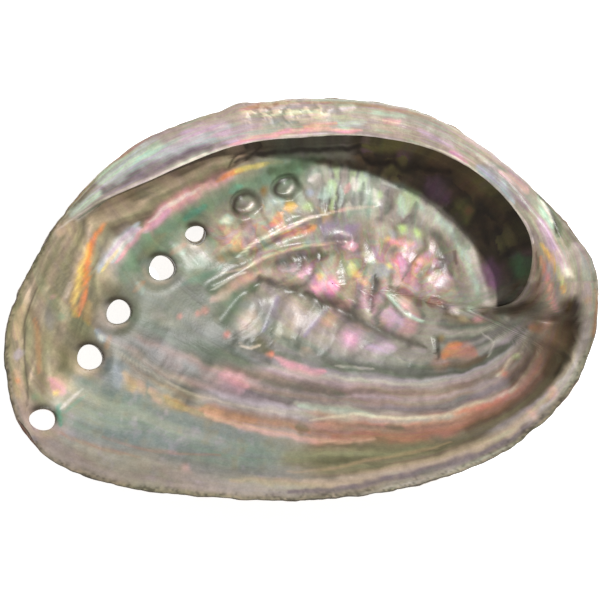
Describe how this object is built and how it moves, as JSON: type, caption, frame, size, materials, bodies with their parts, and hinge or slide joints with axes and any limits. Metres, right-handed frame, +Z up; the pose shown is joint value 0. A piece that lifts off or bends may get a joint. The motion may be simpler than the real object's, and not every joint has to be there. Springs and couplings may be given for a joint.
{
  "type": "abalone shell",
  "caption": "Ear-shaped abalone shell lying on its back: an iridescent nacre bowl with a flat inner shelf, a row of breathing holes and a rough outside.",
  "frame": {"origin": "middle of the shell's length and width, on the surface that it rests on", "axes": "+X along the length towards the spire end, +Y across it towards the flat inner shelf, +Z up out of the mouth"},
  "size_m": [0.1598, 0.1086, 0.0392],
  "materials": {
    "nacre": "glossy iridescent nacre inside, rough olive and red-brown outside"
  },
  "bodies": {
    "root": {"shell": "nacre"}
  },
  "joints": []
}
